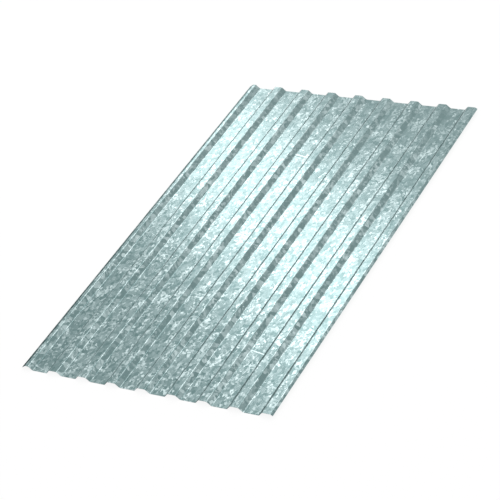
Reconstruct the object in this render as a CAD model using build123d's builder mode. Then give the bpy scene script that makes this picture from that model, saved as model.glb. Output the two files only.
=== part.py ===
from build123d import *

import os

# A trapezoidal roofing and walling sheet: one strip of galvanised steel, bent along its length
# by rolls and cut square to length. All sizes are in millimetres.
# X runs across the ribs, Y along them and Z up. The undersides of the valleys lie on Z = 0, and
# the origin is under the middle of the sheet.

# The strip
SHEET_LENGTH = 2000.0  # along the ribs
GAUGE = 0.5  # thickness of the strip
BEND_RADIUS = 6.0  # on the inside of every bend

# The ribs
RIB_PITCH = 137.5  # from the middle of one crest to the middle of the next
PITCH_COUNT = 8  # pitches in the width that one sheet covers
RIB_RISE = 18.0  # from a valley's face up to the same face of a crest
CREST_WIDTH = 35.0  # across the top of a rib, from corner to corner
FLANK_RUN = 17.5  # sideways, from a rib's shoulder to its foot

# The side laps: the narrow first rib goes under the last rib of the sheet beside it
UNDERLAP_CREST_WIDTH = 14.0
UNDERLAP_LEG_RUN = 19.0
UNDERLAP_LEG_DROP = 12.0
OVERLAP_LEG_RUN = 9.5
OVERLAP_LEG_DROP = 6.5

# Levels of the strip's middle surface
VALLEY_LEVEL = GAUGE / 2
CREST_LEVEL = VALLEY_LEVEL + RIB_RISE

# Distances from the middle of a rib
SHOULDER = CREST_WIDTH / 2
FOOT = SHOULDER + FLANK_RUN

# Places across the sheet, from the middle of the first rib
LAST_RIB = PITCH_COUNT * RIB_PITCH
UNDERLAP_CREST_END = SHOULDER - UNDERLAP_CREST_WIDTH
UNDERLAP_TIP = UNDERLAP_CREST_END - UNDERLAP_LEG_RUN
OVERLAP_TIP = LAST_RIB + SHOULDER + OVERLAP_LEG_RUN
MIDDLE = (UNDERLAP_TIP + OVERLAP_TIP) / 2


def strip_corners():
    """Corners of the strip's middle line, from the tip of the underlap leg to that of the overlap leg."""
    corners = [
        (UNDERLAP_TIP, CREST_LEVEL - UNDERLAP_LEG_DROP),
        (UNDERLAP_CREST_END, CREST_LEVEL),
        (SHOULDER, CREST_LEVEL),
        (FOOT, VALLEY_LEVEL),
    ]
    for rib in range(1, PITCH_COUNT):
        centre = rib * RIB_PITCH
        corners += [
            (centre - FOOT, VALLEY_LEVEL),
            (centre - SHOULDER, CREST_LEVEL),
            (centre + SHOULDER, CREST_LEVEL),
            (centre + FOOT, VALLEY_LEVEL),
        ]
    corners += [
        (LAST_RIB - FOOT, VALLEY_LEVEL),
        (LAST_RIB - SHOULDER, CREST_LEVEL),
        (LAST_RIB + SHOULDER, CREST_LEVEL),
        (OVERLAP_TIP, CREST_LEVEL - OVERLAP_LEG_DROP),
    ]
    return corners


# The rolled section stands across the sheet at mid-length and runs out to both cut ends
with BuildPart() as corrugated_sheet:
    with BuildSketch(Plane.XZ.move(Location((-MIDDLE, 0, 0)))) as section:
        with BuildLine() as strip:
            FilletPolyline(*strip_corners(), radius=BEND_RADIUS + GAUGE / 2)
        trace(line_width=GAUGE)
    extrude(amount=SHEET_LENGTH / 2, both=True)

corrugated_sheet.part.label = "corrugated_sheet"

os.makedirs("parts", exist_ok=True)
export_step(corrugated_sheet.part, "parts/corrugated_sheet.step")
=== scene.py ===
"""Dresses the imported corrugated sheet: rolled section, spangled zinc, sheared edges and a white stage."""

import math

import bmesh
import bpy
from bpy.props import FloatProperty, FloatVectorProperty, IntProperty, PointerProperty
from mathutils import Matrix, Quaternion, Vector


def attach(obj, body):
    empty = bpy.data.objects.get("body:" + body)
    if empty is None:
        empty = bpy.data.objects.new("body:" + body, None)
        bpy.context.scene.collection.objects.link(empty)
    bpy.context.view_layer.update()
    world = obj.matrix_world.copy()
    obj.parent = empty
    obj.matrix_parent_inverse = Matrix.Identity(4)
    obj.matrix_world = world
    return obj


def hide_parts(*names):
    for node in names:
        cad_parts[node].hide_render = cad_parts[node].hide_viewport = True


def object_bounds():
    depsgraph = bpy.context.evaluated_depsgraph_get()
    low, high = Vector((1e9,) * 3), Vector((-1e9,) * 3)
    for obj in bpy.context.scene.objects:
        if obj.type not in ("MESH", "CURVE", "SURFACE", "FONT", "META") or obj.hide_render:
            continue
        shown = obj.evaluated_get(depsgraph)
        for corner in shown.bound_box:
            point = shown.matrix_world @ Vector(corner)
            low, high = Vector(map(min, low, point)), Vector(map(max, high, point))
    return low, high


bl_info = {
    "name": "Corrugated Metal Sheet",
    "version": (1, 0, 0),
    "blender": (4, 5, 0),
    "location": "3D View > Sidebar > Sheet",
    "description": "Rolls a galvanised trapezoidal sheet inside its packed frame and sets a white stage",
    "category": "Object",
}

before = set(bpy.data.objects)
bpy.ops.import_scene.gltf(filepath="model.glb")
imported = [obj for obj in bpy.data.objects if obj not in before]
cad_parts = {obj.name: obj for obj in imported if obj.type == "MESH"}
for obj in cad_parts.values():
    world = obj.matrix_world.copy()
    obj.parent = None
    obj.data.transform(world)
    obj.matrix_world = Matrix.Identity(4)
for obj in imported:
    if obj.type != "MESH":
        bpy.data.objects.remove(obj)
CAD_LOW, CAD_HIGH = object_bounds()

SHEET_NODE = "corrugated_sheet"
SHEET_BODY = "root"

# Names of the values that the sheet's mesh carries for its materials
SLOPE = "slope"
BURNISH_AND_SHEEN = "burnish_and_sheen"

# Places of the finishes in the sheet's material slots
REVERSE_SLOT = 0
FACE_SLOT = 1
LEG_SLOT = 2
SHEARED_SLOT = 3

# The rolled section
BEND_STEPS = 12
INSIDE_BEND = math.radians(2.2)  # least turn at a point of the section that lies within a bend

# The sheared edges
ROLLOVER_SHARE = 1 / 6  # width of the rounding, as a share of the gauge
ROLLOVER_STEPS = 2
ROLLOVER_ANGLE = math.radians(60)  # least angle between two faces whose edge is rounded

# Sines of the slopes up to which a face counts as flat, and from which it counts as a flank
FLAT_SLOPE = 0.3
FLANK_SLOPE = 0.6

# The grain of the zinc as a whole
DRAWN_OUT = 1.4  # how much longer the grain is along the sheet than across it
GRAIN_START = (0.37, 1.21, 0.0)  # where the sheet lies in the endless grain
MEAN_TONE = 0.27
CALM_FROM = 0.25  # share of the length from which the grain calms down
CALM = 0.32  # share of the way to the mean tone that it has gone at the far end

# Shards, which are a quarter longer than wide, and the blotches in which the bright ones crowd
SHARD_STRETCH = (1.0, 0.8, 1.0)
BLOTCH_SCALE = 14.0  # per metre, as the other scales are
BLOTCH_DETAIL = 3.0
BLOTCH_PULL = 0.9  # weight of the blotches beside the shard's own random shade
CRYSTAL_PULL = 0.25  # weight of the shade that all shards of a crystal share
BRIGHT_FROM = 1.11  # sum of these from which a shard gleams
BRIGHT_FULL = 1.67  # and from which it gleams fully
LEAST_GLEAM = 0.5  # tone of the dullest of the bright shards
# Less gleam shows on the flanks, as part of their painted shade
FLANK_GLEAM = 0.7  # share of the gleam that shows on the flanks

# Crystals, whose brightest have these tones; on the flanks most are darker, which paints shade on them
FLAT_PLATE = 0.32
FLANK_PLATE = 0.72
FLANK_PLATE_POWER = 3.5  # makes bright crystals rarer on the flanks
FLANK_LIFT = 0.08  # tone that every crystal on a flank has at least

# Bends, where the rolls' rubbing comes and goes, and whose lighter tone is partly a painted highlight along
# each bend
RUB_SCALE = 30.0
RUB_DETAIL = 2.0
RUB_FROM = 0.40  # shade of the rubbing up to which a stretch is dull
RUB_FULL = 0.60  # and from which it is bright
SHEEN_WEAR_LOW = 0.35  # brightness of a dull stretch
SHEEN_WEAR_HIGH = 1.6  # and of a bright one
RUBBED_SHEEN_LEAST = 0.14  # tone of the darkest crystal
RUBBED_SHEEN_SPREAD = 0.5  # how far the brightest is above it

# Unevenness of the zinc's face
WAVE_SCALE = 22.0
WAVE_DETAIL = 1.0
MIDDLE_SHADE = (0.5, 0.5, 0.5)
FACET_SPREAD = 3.5  # brings a cell's random shade to a spread of about 1
RIPPLE_SPREAD = 7.0  # does the same for the waves
FLECK_ROUGHNESS = 0.06  # added where the tone is 1
REVERSE_ROUGHNESS = 0.1  # added on the underside

# Share of metal in the underlap leg's face, which sets how much of the leg's painted shade shows: all of it
# at the near end, less towards the far end
LEG_SHADE_METAL_NEAR = 1.0
LEG_SHADE_METAL_FAR = 0.2

# Light scrapes across valleys: the valley's number, from 0 beside the underlap,
# and the distance from the near end
SCRAPES = ((6, 0.320), (3, 1.544))
SCRAPE_LENGTH = 0.070
SCRAPE_WIDTH = 0.009
SCRAPE_TURN = math.radians(-10)
SCRAPE_END = 0.85  # share of the half length from which a scrape fades
SCRAPE_SIDE = 0.3  # share of the half width from which it fades

# Score marks of the shear, which run up the cut
SCORE_STRETCH = (1.0, 1.0, 0.2)
SCORE_SCALE = 2500.0
SCORE_DETAIL = 2.0
SCORE_DARK = 0.6  # times the steel's colour
SCORE_LIGHT = 1.3
SHEARED_ROUGHNESS = 0.35
SHEARED_ROUGHNESS_SPREAD = 0.2

# The stage
FLOOR_HALF = 40.0
FLOOR_GAP = 0.0002  # keeps the floor's face off the sheet's underside
WATTS_PER_RADIANCE = 4.0  # for each square metre of a softbox


class SheetSizes(bpy.types.PropertyGroup):
    """Sizes of the strip, its ribs and its two side laps."""

    length: FloatProperty(
        name="Length",
        description="Length of the sheet along its ribs",
        default=CAD_HIGH.y - CAD_LOW.y,
        min=0.1,
        unit="LENGTH",
    )
    gauge: FloatProperty(
        name="Gauge",
        description="Thickness of the strip",
        default=0.0005,
        min=0.0001,
        precision=5,
        unit="LENGTH",
    )
    bend_radius: FloatProperty(
        name="Bend radius",
        description="Radius on the inside of every bend",
        default=0.006,
        min=0.0005,
        precision=4,
        unit="LENGTH",
    )
    rib_pitch: FloatProperty(
        name="Rib pitch",
        description="Distance from the middle of one crest to the middle of the next",
        default=0.1375,
        min=0.01,
        precision=4,
        unit="LENGTH",
    )
    pitch_count: IntProperty(
        name="Pitches",
        description="Number of pitches in the width that one sheet covers",
        default=8,
        min=2,
        max=20,
    )
    rib_rise: FloatProperty(
        name="Rib rise",
        description="Height from a valley's face to the same face of a crest",
        default=0.018,
        min=0.001,
        precision=4,
        unit="LENGTH",
    )
    crest_width: FloatProperty(
        name="Crest width",
        description="Width of a rib's top from corner to corner",
        default=0.035,
        min=0.001,
        precision=4,
        unit="LENGTH",
    )
    flank_run: FloatProperty(
        name="Flank run",
        description="Sideways distance from a rib's shoulder to its foot",
        default=0.0175,
        min=0.001,
        precision=4,
        unit="LENGTH",
    )
    underlap_crest_width: FloatProperty(
        name="Underlap crest width",
        description="Width of the narrow first crest, which goes under the next sheet",
        default=0.014,
        min=0.001,
        precision=4,
        unit="LENGTH",
    )
    underlap_leg_run: FloatProperty(
        name="Underlap leg run",
        description="Sideways reach of the leg beside the narrow first crest",
        default=0.019,
        min=0.001,
        precision=4,
        unit="LENGTH",
    )
    underlap_leg_drop: FloatProperty(
        name="Underlap leg drop",
        description="Depth of the leg beside the narrow first crest",
        default=0.012,
        min=0.001,
        precision=4,
        unit="LENGTH",
    )
    overlap_leg_run: FloatProperty(
        name="Overlap leg run",
        description="Sideways reach of the short leg beside the last crest",
        default=0.0095,
        min=0.001,
        precision=4,
        unit="LENGTH",
    )
    overlap_leg_drop: FloatProperty(
        name="Overlap leg drop",
        description="Depth of the short leg beside the last crest",
        default=0.0065,
        min=0.001,
        precision=4,
        unit="LENGTH",
    )


class ZincFinish(bpy.types.PropertyGroup):
    """Colours and grain of the zinc coat, and colour of the cut steel."""

    ground: FloatVectorProperty(
        name="Zinc ground",
        description="Colour of the darkest crystals",
        default=(0.132, 0.215, 0.216),
        size=3,
        min=0.0,
        max=1.0,
        subtype="COLOR",
    )
    fleck: FloatVectorProperty(
        name="Zinc flecks",
        description="Colour of the brightest crystals",
        default=(0.525, 0.648, 0.653),
        size=3,
        min=0.0,
        max=1.0,
        subtype="COLOR",
    )
    glance: FloatVectorProperty(
        name="Zinc glance",
        description="Tint of the zinc where it is seen nearly edge-on",
        default=(0.8, 0.8, 0.8),
        size=3,
        min=0.0,
        max=1.0,
        subtype="COLOR",
    )
    # Near-black, so that the underlap leg seen nearly edge-on is painted dark as shade
    leg_shade_glance: FloatVectorProperty(
        name="Leg glance",
        description="Tint of the underlap leg's zinc where it is seen nearly edge-on",
        default=(0.15, 0.15, 0.15),
        size=3,
        min=0.0,
        max=1.0,
        subtype="COLOR",
    )
    steel: FloatVectorProperty(
        name="Sheared steel",
        description="Colour of the bare steel where the sheet was cut",
        default=(0.33, 0.34, 0.34),
        size=3,
        min=0.0,
        max=1.0,
        subtype="COLOR",
    )
    crystal: FloatProperty(
        name="Crystal size",
        description="Distance between the middles of neighbouring large zinc crystals",
        default=0.0125,
        min=0.002,
        precision=4,
        unit="LENGTH",
    )
    shard: FloatProperty(
        name="Shard size",
        description="Width of the shards that a zinc crystal is broken into",
        default=0.0093,
        min=0.002,
        precision=4,
        unit="LENGTH",
    )
    roughness: FloatProperty(
        name="Roughness",
        description="Roughness of the zinc's face",
        default=0.250,
        min=0.05,
        max=1.0,
        subtype="FACTOR",
    )
    ripple: FloatProperty(
        name="Ripple",
        description="Slope of the faint waves in the flats",
        default=math.radians(0.2),
        min=0.0,
        subtype="ANGLE",
    )
    facet: FloatProperty(
        name="Facet tilt",
        description="Slope of the crystals' faces",
        default=math.radians(0.1),
        min=0.0,
        subtype="ANGLE",
    )


class StageSettings(bpy.types.PropertyGroup):
    """Floor, light and camera."""

    floor: FloatVectorProperty(
        name="Floor",
        description="Colour of the floor",
        default=(0.95, 0.95, 0.95),
        size=3,
        min=0.0,
        max=1.0,
        subtype="COLOR",
    )
    floor_glow: FloatProperty(
        name="Floor glow",
        description="Share of the floor's white that shadows don't darken",
        default=0.88,
        min=0.0,
        max=1.0,
        subtype="FACTOR",
    )
    softbox_radiance: FloatProperty(
        name="Softbox radiance",
        description="Brightness of the softbox's face, where the white surroundings have 1",
        default=3.48,
        min=0.0,
    )
    softbox_colour: FloatVectorProperty(
        name="Softbox colour",
        description="Colour of the softbox's light, a little warmer than the surroundings",
        default=(1.0, 0.93, 0.935),
        size=3,
        min=0.0,
        max=1.0,
        subtype="COLOR",
    )
    softbox_width: FloatProperty(
        name="Softbox width",
        description="Width of the tall softbox",
        default=0.83,
        min=0.01,
        unit="LENGTH",
    )
    softbox_height: FloatProperty(
        name="Softbox height",
        description="Height of the tall softbox",
        default=5.95,
        min=0.01,
        unit="LENGTH",
    )
    softbox_slide: FloatProperty(
        name="Softbox slide",
        description="How far the softbox is slid up along its own height",
        default=2.025,
        unit="LENGTH",
    )
    softbox_distance: FloatProperty(
        name="Softbox distance",
        description="Distance from the middle of the sheet to the plane of the softbox",
        default=6.0,
        min=1.0,
        unit="LENGTH",
    )
    softbox_bearing: FloatProperty(
        name="Softbox bearing",
        description="Direction that the softbox faces from, turned left from the ribs' far end",
        default=math.radians(35.3),
        subtype="ANGLE",
    )
    softbox_elevation: FloatProperty(
        name="Softbox elevation",
        description="Height above the horizon that the softbox faces from",
        default=math.radians(34.1),
        subtype="ANGLE",
    )
    softbox_lean: FloatProperty(
        name="Softbox lean",
        description="Turn of the softbox about the line that it faces along",
        default=math.radians(23.8),
        subtype="ANGLE",
    )
    camera_aim: FloatVectorProperty(
        name="Camera aim",
        description="Point that the camera looks at",
        default=(0.01265, -0.11853, 0.00925),
        size=3,
        precision=5,
        subtype="XYZ",
        unit="LENGTH",
    )
    camera_distance: FloatProperty(
        name="Camera distance",
        description="Distance from the camera to the point that it looks at",
        default=7.8953,
        min=0.1,
        unit="LENGTH",
    )
    camera_azimuth: FloatProperty(
        name="Camera azimuth",
        description="Turn of the camera about the sheet, to the right of the near cut end",
        default=math.radians(36.689),
        subtype="ANGLE",
    )
    camera_elevation: FloatProperty(
        name="Camera elevation",
        description="Height of the camera above the horizon",
        default=math.radians(36.151),
        subtype="ANGLE",
    )
    camera_roll: FloatProperty(
        name="Camera roll",
        description="Turn of the camera about its own line of sight",
        default=math.radians(-15.123),
        subtype="ANGLE",
    )
    camera_lens: FloatProperty(
        name="Camera lens",
        description="Focal length in millimetres on a sensor 36 mm wide",
        default=138.12,
        min=1.0,
        unit="CAMERA",
    )


def section_corners(sizes):
    """Corners of the strip's middle line at the near cut, from the underlap's tip to the overlap's."""
    shoulder = sizes.crest_width / 2
    foot = shoulder + sizes.flank_run
    last_rib = sizes.pitch_count * sizes.rib_pitch
    valley = CAD_LOW.z + sizes.gauge / 2
    crest = valley + sizes.rib_rise
    crest_end = shoulder - sizes.underlap_crest_width
    corners = [
        (crest_end - sizes.underlap_leg_run, crest - sizes.underlap_leg_drop),
        (crest_end, crest),
        (shoulder, crest),
        (foot, valley),
    ]
    for rib in range(1, sizes.pitch_count):
        middle = rib * sizes.rib_pitch
        corners += [
            (middle - foot, valley),
            (middle - shoulder, crest),
            (middle + shoulder, crest),
            (middle + foot, valley),
        ]
    corners += [
        (last_rib - foot, valley),
        (last_rib - shoulder, crest),
        (last_rib + shoulder, crest),
        (last_rib + shoulder + sizes.overlap_leg_run, crest - sizes.overlap_leg_drop),
    ]
    centre = (corners[0][0] + corners[-1][0]) / 2
    return [Vector((x - centre, CAD_LOW.y, z)) for x, z in corners]


def middle_radius(sizes):
    """Radius of a bend on the strip's middle surface."""
    return sizes.bend_radius + sizes.gauge / 2


def run_straight(bm, tip, heading, length):
    """Runs the strip straight on from its tip, and returns the new tip."""
    tip = bmesh.ops.extrude_vert_indiv(bm, verts=[tip])["verts"][0]
    bmesh.ops.translate(bm, verts=[tip], vec=length * Vector((math.cos(heading), 0, math.sin(heading))))
    return tip


def roll_bend(bm, tip, heading, turn, sizes):
    """Bends the strip on from its tip, up where turn is positive, and returns the new tip."""
    left = Vector((-math.sin(heading), 0, math.cos(heading)))
    centre = tip.co + math.copysign(middle_radius(sizes), turn) * left
    made = bmesh.ops.spin(bm, geom=[tip], cent=centre, axis=(0, -1, 0), angle=turn, steps=BEND_STEPS)
    return made["geom_last"][0]


def roll_section(bm, sizes):
    """Makes the strip's middle line at the near cut end."""
    corners = section_corners(sizes)
    runs = [b - a for a, b in zip(corners, corners[1:])]
    headings = [math.atan2(run.z, run.x) for run in runs]
    turns = [b - a for a, b in zip(headings, headings[1:])]
    reaches = [0.0] + [middle_radius(sizes) * math.tan(abs(turn) / 2) for turn in turns] + [0.0]
    tip = bmesh.ops.create_vert(bm, co=corners[0])["vert"][0]
    for place, run in enumerate(runs):
        straight = run.length - reaches[place] - reaches[place + 1]
        if straight <= 0:
            raise RuntimeError("the bends are too large for the straight between them")
        tip = run_straight(bm, tip, headings[place], straight)
        if place < len(turns):
            tip = roll_bend(bm, tip, headings[place], turns[place], sizes)


def mark_section(bm):
    """Gives each point of the middle line its slope, and marks the points within a bend for the rolls'
    rubbing and a painted highlight.
    """
    slope = bm.verts.layers.float.new(SLOPE)
    burnish_and_sheen = bm.verts.layers.float.new(BURNISH_AND_SHEEN)
    points = sorted(bm.verts, key=lambda point: point.co.x)
    steps = [b.co - a.co for a, b in zip(points, points[1:])]
    headings = [math.atan2(step.z, step.x) for step in steps]
    for number, point in enumerate(points):
        before = headings[max(0, number - 1)]
        after = headings[min(number, len(headings) - 1)]
        point[slope] = abs(math.sin((before + after) / 2))
        # Points within a bend get the rolls' rubbing and a painted highlight
        point[burnish_and_sheen] = 1.0 if abs(after - before) > INSIDE_BEND else 0.0


def lay_sheet(bm, sizes):
    """Runs the middle line out to the far cut end, with its faces up, and picks out the underlap leg."""
    made = bmesh.ops.extrude_edge_only(bm, edges=bm.edges[:])["geom"]
    far = [item for item in made if isinstance(item, bmesh.types.BMVert)]
    bmesh.ops.translate(bm, verts=far, vec=(0, sizes.length, 0))
    bmesh.ops.recalc_face_normals(bm, faces=bm.faces[:])
    bm.normal_update()
    if sum(face.normal.z for face in bm.faces) < 0:
        bmesh.ops.reverse_faces(bm, faces=bm.faces[:])
    leg_end = section_corners(sizes)[1].x + middle_radius(sizes)
    for face in bm.faces:
        face.smooth = True
        face.material_index = LEG_SLOT if face.calc_center_median().x < leg_end else FACE_SLOT


def finish_edges(sheet, sizes):
    """Gives the strip its gauge, and rounds the sheared edges a little."""
    thicken = sheet.modifiers.new("gauge", "SOLIDIFY")
    thicken.thickness = sizes.gauge
    thicken.offset = 0.0
    thicken.use_even_offset = True
    # A slot past either end of the list counts as the one at that end,
    # so the same steps serve the face and the leg
    thicken.material_offset = REVERSE_SLOT - LEG_SLOT
    thicken.material_offset_rim = SHEARED_SLOT - FACE_SLOT
    rollover = sheet.modifiers.new("shear_rollover", "BEVEL")
    rollover.width = ROLLOVER_SHARE * sizes.gauge
    rollover.segments = ROLLOVER_STEPS
    rollover.limit_method = "ANGLE"
    rollover.angle_limit = ROLLOVER_ANGLE
    rollover.profile = 0.5
    rollover.material = -1
    level = sheet.modifiers.new("level_flats", "WEIGHTED_NORMAL")
    level.keep_sharp = True


def node(tree, kind, inputs=None, **settings):
    """Adds a shader node, whose inputs are values or other sockets, by the name or number of a socket."""
    made = tree.nodes.new("ShaderNode" + kind)
    for name, value in settings.items():
        setattr(made, name, value)
    for name, value in (inputs or {}).items():
        if isinstance(value, bpy.types.NodeSocket):
            tree.links.new(value, made.inputs[name])
        else:
            made.inputs[name].default_value = value
    return made


def math_node(tree, operation, *values):
    """Adds a Math node and returns its result."""
    return node(tree, "Math", dict(enumerate(values)), operation=operation).outputs[0]


def vector_node(tree, operation, *values, **named):
    """Adds a Vector Math node and returns its vector."""
    made = node(tree, "VectorMath", {**dict(enumerate(values)), **named}, operation=operation)
    return made.outputs["Vector"]


def ramp(tree, value, start, end, first=0.0, last=1.0, smooth=False):
    """Value that goes from first to last while another goes from start to end."""
    made = node(
        tree,
        "MapRange",
        {"Value": value, "From Min": start, "From Max": end, "To Min": first, "To Max": last},
        interpolation_type="SMOOTHSTEP" if smooth else "LINEAR",
    )
    return made.outputs["Result"]


def noise(tree, place, scale, detail, dimensions="2D"):
    """Adds a noise and returns its outputs."""
    values = {"Vector": place, "Scale": scale, "Detail": detail}
    return node(tree, "TexNoise", values, noise_dimensions=dimensions).outputs


def cells(tree, place, size):
    """Adds cells of a size, and returns their outputs and the three parts of each cell's random colour."""
    scale = math_node(tree, "DIVIDE", 1.0, size)
    made = node(tree, "TexVoronoi", {"Vector": place, "Scale": scale}, voronoi_dimensions="2D").outputs
    return made, node(tree, "SeparateColor", {"Color": made["Color"]}).outputs


def colour_mix(tree, share, first, last):
    """Adds a mix of two colours and returns its result."""
    made = node(tree, "Mix", {"Factor": share}, data_type="RGBA")
    made.inputs["A"].default_value = (*first, 1.0)
    made.inputs["B"].default_value = (*last, 1.0)
    return made.outputs["Result"]


def object_place(tree):
    """Place on the sheet."""
    return node(tree, "TexCoord").outputs["Object"]


def new_group(name, inputs, outputs):
    """Starts a shader node group, and returns its tree, its input sockets by name and its output node."""
    tree = bpy.data.node_groups.new(name, "ShaderNodeTree")
    for socket, kind in inputs.items():
        tree.interface.new_socket(socket, in_out="INPUT", socket_type="NodeSocket" + kind)
    for socket, kind in outputs.items():
        tree.interface.new_socket(socket, in_out="OUTPUT", socket_type="NodeSocket" + kind)
    source = tree.nodes.new("NodeGroupInput").outputs
    return tree, source, tree.nodes.new("NodeGroupOutput")


def new_material(name):
    """Starts a material, and returns it with its tree and its shader."""
    material = bpy.data.materials.new(name)
    material.use_nodes = True
    tree = material.node_tree
    return material, tree, tree.nodes["Principled BSDF"]


def steepening(tree, slope, flat, flank):
    """Value that goes from one on the flats to another on the flanks."""
    return ramp(tree, slope, FLAT_SLOPE, FLANK_SLOPE, flat, flank)


def spangle_group():
    """Zinc spangle: crystals broken into shards that lie their own way on each, some of them bright."""
    tree, given, put = new_group(
        "Zinc spangle",
        {"Vector": "Vector", "Crystal": "Float", "Shard": "Float", "Slope": "Float", "Burnish and sheen": "Float"},
        {"Tone": "Float", "Facet": "Vector", "Ripple": "Vector"},
    )
    place = given["Vector"]
    slope = given["Slope"]
    crystal, crystal_shade = cells(tree, place, given["Crystal"])

    # Shards run their own way on each crystal
    way = math_node(tree, "MULTIPLY", crystal_shade["Green"], math.pi)
    turned = node(
        tree,
        "VectorRotate",
        {"Vector": place, "Center": crystal["Position"], "Angle": way},
        rotation_type="Z_AXIS",
    )
    drawn = vector_node(tree, "MULTIPLY", turned.outputs["Vector"], SHARD_STRETCH)
    shard, shard_shade = cells(tree, drawn, given["Shard"])

    # Bright shards crowd together in slow blotches
    blotch = noise(tree, place, BLOTCH_SCALE, BLOTCH_DETAIL)
    crowd = math_node(tree, "MULTIPLY_ADD", blotch["Fac"], BLOTCH_PULL, shard_shade["Red"])
    crowd = math_node(tree, "MULTIPLY_ADD", crystal_shade["Red"], CRYSTAL_PULL, crowd)
    bright = ramp(tree, crowd, BRIGHT_FROM, BRIGHT_FULL, smooth=True)
    gleam = math_node(tree, "MULTIPLY_ADD", shard_shade["Green"], 1 - LEAST_GLEAM, LEAST_GLEAM)
    gleam = math_node(tree, "MULTIPLY", bright, gleam)

    # On the flanks whole crystals stand out more than their shards, and most of them are painted darker as
    # shade
    gleam = math_node(tree, "MULTIPLY", gleam, steepening(tree, slope, 1.0, FLANK_GLEAM))
    plate = math_node(tree, "POWER", crystal_shade["Blue"], steepening(tree, slope, 1.0, FLANK_PLATE_POWER))
    plate = math_node(tree, "MULTIPLY", plate, steepening(tree, slope, FLAT_PLATE, FLANK_PLATE))
    plate = math_node(tree, "ADD", plate, steepening(tree, slope, 0.0, FLANK_LIFT))
    loose = math_node(tree, "ADD", gleam, plate)

    # On the bends the rolls rub the shards out and leave the crystals' own shades, here duller and there
    # brighter; the bends are also lighter on the whole, which paints a highlight along them
    rub = noise(tree, place, RUB_SCALE, RUB_DETAIL)
    wear_and_sheen = ramp(tree, rub["Fac"], RUB_FROM, RUB_FULL, SHEEN_WEAR_LOW, SHEEN_WEAR_HIGH, smooth=True)
    rubbed_and_sheen = math_node(tree, "MULTIPLY_ADD", crystal_shade["Blue"], RUBBED_SHEEN_SPREAD, RUBBED_SHEEN_LEAST)
    rubbed_and_sheen = math_node(tree, "MULTIPLY", rubbed_and_sheen, wear_and_sheen)
    tone = node(tree, "Mix", {"Factor": given["Burnish and sheen"], "A": loose, "B": rubbed_and_sheen})
    tree.links.new(tone.outputs["Result"], put.inputs["Tone"])

    facet = vector_node(tree, "SUBTRACT", shard["Color"], MIDDLE_SHADE)
    tree.links.new(facet, put.inputs["Facet"])
    wave = noise(tree, place, WAVE_SCALE, WAVE_DETAIL)
    ripple = vector_node(tree, "SUBTRACT", wave["Color"], MIDDLE_SHADE)
    tree.links.new(ripple, put.inputs["Ripple"])
    return tree


def grain_place(tree):
    """Place in the zinc's grain, which rolling has drawn out along the sheet."""
    drawn = vector_node(tree, "DIVIDE", object_place(tree), (1.0, DRAWN_OUT, 1.0))
    return vector_node(tree, "ADD", drawn, GRAIN_START)


def along_sheet(tree, start, end, first, last):
    """Value that goes from first to last between two places along the sheet, as shares of its length."""
    length = CAD_HIGH.y - CAD_LOW.y
    place = node(tree, "SeparateXYZ", {0: object_place(tree)}).outputs["Y"]
    return ramp(tree, place, CAD_LOW.y + start * length, CAD_LOW.y + end * length, first, last)


def scrape_centres(sizes):
    """Middles of the scrapes, half a pitch past the rib before each one's valley."""
    underlap_shoulder = section_corners(sizes)[2].x
    first_rib = underlap_shoulder - sizes.crest_width / 2
    return [
        Vector((first_rib + (valley + 0.5) * sizes.rib_pitch, CAD_LOW.y + distance, 0))
        for valley, distance in SCRAPES
    ]


def scrape_share(tree, centre):
    """Share of one scrape, from 1 along its middle to 0 at its edges."""
    local = node(
        tree,
        "Mapping",
        {
            "Vector": object_place(tree),
            "Location": centre,
            "Rotation": (0, 0, SCRAPE_TURN),
            "Scale": (SCRAPE_LENGTH / 2, SCRAPE_WIDTH / 2, 1),
        },
        vector_type="TEXTURE",
    )
    off = node(tree, "SeparateXYZ", {0: vector_node(tree, "ABSOLUTE", local.outputs["Vector"])}).outputs
    ends = ramp(tree, off["X"], SCRAPE_END, 1.0, 1.0, 0.0)
    sides = ramp(tree, off["Y"], SCRAPE_SIDE, 1.0, 1.0, 0.0)
    return math_node(tree, "MULTIPLY", ends, sides)


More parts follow.
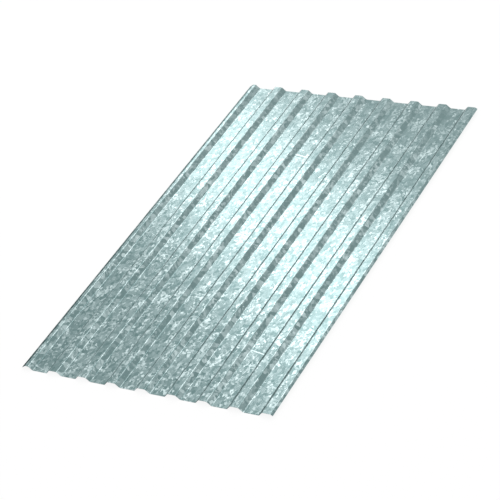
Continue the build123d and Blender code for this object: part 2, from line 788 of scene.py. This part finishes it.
def zinc_material(name, spangle, finish, glance, added_roughness=0.0, scrapes=()):
    """Galvanised face of the strip. Returns it with its shader."""
    material, tree, shader = new_material(name)
    grain = node(tree, "Group", node_tree=spangle)
    tree.links.new(grain_place(tree), grain.inputs["Vector"])
    grain.inputs["Crystal"].default_value = finish.crystal
    grain.inputs["Shard"].default_value = finish.shard
    for socket, attribute in (("Slope", SLOPE), ("Burnish and sheen", BURNISH_AND_SHEEN)):
        share = node(tree, "Attribute", attribute_name=attribute)
        tree.links.new(share.outputs["Fac"], grain.inputs[socket])

    # The grain is calmer towards the far end
    calm = along_sheet(tree, CALM_FROM, 1.0, 0.0, CALM)
    tone = node(tree, "Mix", {"Factor": calm, "A": grain.outputs["Tone"], "B": MEAN_TONE}).outputs["Result"]
    for centre in scrapes:
        tone = math_node(tree, "MAXIMUM", tone, scrape_share(tree, centre))
    coat = colour_mix(tree, tone, finish.ground, finish.fleck)
    tree.links.new(coat, shader.inputs["Base Color"])

    roughness = finish.roughness + added_roughness
    rough = math_node(tree, "MULTIPLY_ADD", grain.outputs["Tone"], FLECK_ROUGHNESS, roughness)
    tree.links.new(rough, shader.inputs["Roughness"])

    facets = vector_node(tree, "SCALE", grain.outputs["Facet"], Scale=FACET_SPREAD * finish.facet)
    ripples = vector_node(tree, "SCALE", grain.outputs["Ripple"], Scale=RIPPLE_SPREAD * finish.ripple)
    tilt = vector_node(tree, "ADD", facets, ripples)
    leaning = vector_node(tree, "ADD", node(tree, "NewGeometry").outputs["Normal"], tilt)
    tree.links.new(vector_node(tree, "NORMALIZE", leaning), shader.inputs["Normal"])
    shader.inputs["Metallic"].default_value = 1.0
    shader.inputs["Specular IOR Level"].default_value = 0.0
    shader.inputs["Specular Tint"].default_value = (*glance, 1.0)
    return material, shader


def reverse_material(spangle, finish):
    """Underside of the strip, a little duller than its face."""
    material, _ = zinc_material(
        "galvanised_reverse", spangle, finish, finish.glance, added_roughness=REVERSE_ROUGHNESS
    )
    return material


def face_material(spangle, finish, sizes):
    """Upper face of the strip, with its scrapes."""
    material, _ = zinc_material(
        "galvanised_face", spangle, finish, finish.glance, scrapes=scrape_centres(sizes)
    )
    return material


def leg_material(spangle, finish):
    """Upper face of the underlap leg: the zinc with a near-black tint where it is seen nearly edge-on,
    which paints shade along the sheet's edge, and less metallic towards the far end, where that painted
    shade fades.
    """
    material, shader = zinc_material("galvanised_leg_painted_shade", spangle, finish, finish.leg_shade_glance)
    tree = material.node_tree
    tree.links.new(along_sheet(tree, 0.0, 1.0, LEG_SHADE_METAL_NEAR, LEG_SHADE_METAL_FAR), shader.inputs["Metallic"])
    return material


def sheared_material(finish):
    """Bare steel of the cut ends and slit edges, with the shear's fine score marks."""
    material, tree, shader = new_material("sheared_steel")
    drawn = vector_node(tree, "MULTIPLY", object_place(tree), SCORE_STRETCH)
    score = noise(tree, drawn, SCORE_SCALE, SCORE_DETAIL, dimensions="3D")
    steel = colour_mix(tree, score["Fac"], SCORE_DARK * finish.steel, SCORE_LIGHT * finish.steel)
    tree.links.new(steel, shader.inputs["Base Color"])
    rough = math_node(tree, "MULTIPLY_ADD", score["Fac"], SHEARED_ROUGHNESS_SPREAD, SHEARED_ROUGHNESS)
    tree.links.new(rough, shader.inputs["Roughness"])
    shader.inputs["Metallic"].default_value = 1.0
    return material


class CORRUGATED_OT_roll_sheet(bpy.types.Operator):
    """Rolls the galvanised strip into the ribbed sheet and gives it its finishes"""

    bl_idname = "corrugated.roll_sheet"
    bl_label = "Roll Sheet"

    def execute(self, context):
        sizes = context.scene.sheet_sizes
        finish = context.scene.zinc_finish
        bm = bmesh.new()
        roll_section(bm, sizes)
        mark_section(bm)
        lay_sheet(bm, sizes)
        mesh = bpy.data.meshes.new("galvanised_sheet")
        bm.to_mesh(mesh)
        bm.free()
        spangle = spangle_group()
        finishes = {
            REVERSE_SLOT: reverse_material(spangle, finish),
            FACE_SLOT: face_material(spangle, finish, sizes),
            LEG_SLOT: leg_material(spangle, finish),
            SHEARED_SLOT: sheared_material(finish),
        }
        for slot in sorted(finishes):
            mesh.materials.append(finishes[slot])
        sheet = bpy.data.objects.new("galvanised_sheet", mesh)
        context.scene.collection.objects.link(sheet)
        finish_edges(sheet, sizes)
        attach(sheet, SHEET_BODY)
        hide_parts(SHEET_NODE)
        return {"FINISHED"}


def floor_material(stage):
    """Pale floor that looks white to the camera and in the zinc, and keeps a faint shadow of the sheet."""
    material, tree, shader = new_material("pale_floor")
    shader.inputs["Base Color"].default_value = (*stage.floor, 1.0)
    shader.inputs["Roughness"].default_value = 1.0
    shader.inputs["Specular IOR Level"].default_value = 0.0
    glow = node(tree, "Emission")
    ray = node(tree, "LightPath").outputs
    seen = math_node(tree, "MAXIMUM", ray["Is Camera Ray"], ray["Is Glossy Ray"])
    seen = math_node(tree, "MAXIMUM", seen, ray["Is Transmission Ray"])
    share = math_node(tree, "MULTIPLY", seen, stage.floor_glow)
    mixed = node(tree, "MixShader", {0: share, 1: shader.outputs["BSDF"], 2: glow.outputs["Emission"]})
    tree.links.new(mixed.outputs["Shader"], tree.nodes["Material Output"].inputs["Surface"])
    return material


def lay_floor(scene, stage):
    """Lays the pale floor under the sheet."""
    bm = bmesh.new()
    bmesh.ops.create_grid(bm, x_segments=1, y_segments=1, size=FLOOR_HALF)
    bmesh.ops.translate(bm, verts=bm.verts[:], vec=(0, 0, CAD_LOW.z - FLOOR_GAP))
    mesh = bpy.data.meshes.new("floor")
    bm.to_mesh(mesh)
    bm.free()
    mesh.materials.append(floor_material(stage))
    floor = bpy.data.objects.new("floor", mesh)
    scene.collection.objects.link(floor)


def light_surroundings(scene):
    """Surrounds the stage with even white light."""
    world = bpy.data.worlds.new("white_surroundings")
    world.use_nodes = True
    background = world.node_tree.nodes["Background"]
    background.inputs["Color"].default_value = (1.0, 1.0, 1.0, 1.0)
    background.inputs["Strength"].default_value = 1.0
    scene.world = world


def direction(turn, elevation):
    """Direction that is turned left from the ribs' far end and raised above the horizon."""
    level = math.cos(elevation)
    return Vector((-math.sin(turn) * level, math.cos(turn) * level, math.sin(elevation)))


def hang_softbox(scene, stage):
    """Hangs the tall softbox whose reflection crosses the sheet as a bright band."""
    outward = direction(stage.softbox_bearing, stage.softbox_elevation)
    lamp = bpy.data.lights.new("softbox", "AREA")
    lamp.shape = "RECTANGLE"
    lamp.size = stage.softbox_width
    lamp.size_y = stage.softbox_height
    lamp.color = stage.softbox_colour
    lamp.energy = WATTS_PER_RADIANCE * stage.softbox_radiance * stage.softbox_width * stage.softbox_height
    softbox = bpy.data.objects.new("softbox", lamp)
    facing = outward.to_track_quat("Z", "Y") @ Quaternion((0, 0, 1), stage.softbox_lean)
    softbox.rotation_mode = "QUATERNION"
    softbox.rotation_quaternion = facing
    softbox.location = outward * stage.softbox_distance + facing @ Vector((0, stage.softbox_slide, 0))
    softbox.visible_camera = False
    scene.collection.objects.link(softbox)


def place_camera(scene, stage):
    """Looks down on the sheet as in the photograph."""
    back = direction(math.pi + stage.camera_azimuth, stage.camera_elevation)
    camera = bpy.data.objects.new("camera", bpy.data.cameras.new("camera"))
    camera.data.lens = stage.camera_lens
    camera.location = Vector(stage.camera_aim) + back * stage.camera_distance
    camera.rotation_mode = "QUATERNION"
    camera.rotation_quaternion = back.to_track_quat("Z", "Y") @ Quaternion((0, 0, 1), stage.camera_roll)
    scene.collection.objects.link(camera)
    scene.camera = camera


class CORRUGATED_OT_set_stage(bpy.types.Operator):
    """Lays the floor, hangs the lights and places the camera"""

    bl_idname = "corrugated.set_stage"
    bl_label = "Set Stage"

    def execute(self, context):
        scene = context.scene
        stage = scene.stage_settings
        lay_floor(scene, stage)
        light_surroundings(scene)
        hang_softbox(scene, stage)
        place_camera(scene, stage)
        scene.view_settings.view_transform = "Standard"
        return {"FINISHED"}


class VIEW3D_PT_corrugated_sheet(bpy.types.Panel):
    """Sizes, finish and stage of the corrugated sheet"""

    bl_label = "Corrugated Sheet"
    bl_space_type = "VIEW_3D"
    bl_region_type = "UI"
    bl_category = "Sheet"

    def draw(self, context):
        scene = context.scene
        parts = (
            (CORRUGATED_OT_roll_sheet, (scene.sheet_sizes, scene.zinc_finish)),
            (CORRUGATED_OT_set_stage, (scene.stage_settings,)),
        )
        for operator, groups in parts:
            column = self.layout.column()
            for settings in groups:
                for name in type(settings).__annotations__:
                    column.prop(settings, name)
            column.operator(operator.bl_idname)


CLASSES = (
    SheetSizes,
    ZincFinish,
    StageSettings,
    CORRUGATED_OT_roll_sheet,
    CORRUGATED_OT_set_stage,
    VIEW3D_PT_corrugated_sheet,
)


def register():
    """Registers the classes and hangs their settings on the scene."""
    for entry in CLASSES:
        bpy.utils.register_class(entry)
    bpy.types.Scene.sheet_sizes = PointerProperty(type=SheetSizes)
    bpy.types.Scene.zinc_finish = PointerProperty(type=ZincFinish)
    bpy.types.Scene.stage_settings = PointerProperty(type=StageSettings)


def unregister():
    """Takes the settings off the scene and the classes out again."""
    del bpy.types.Scene.stage_settings
    del bpy.types.Scene.zinc_finish
    del bpy.types.Scene.sheet_sizes
    for entry in reversed(CLASSES):
        bpy.utils.unregister_class(entry)


def main():
    """Builds the sheet and its stage."""
    register()
    bpy.ops.corrugated.roll_sheet()
    bpy.ops.corrugated.set_stage()


if __name__ == "__main__":
    main()
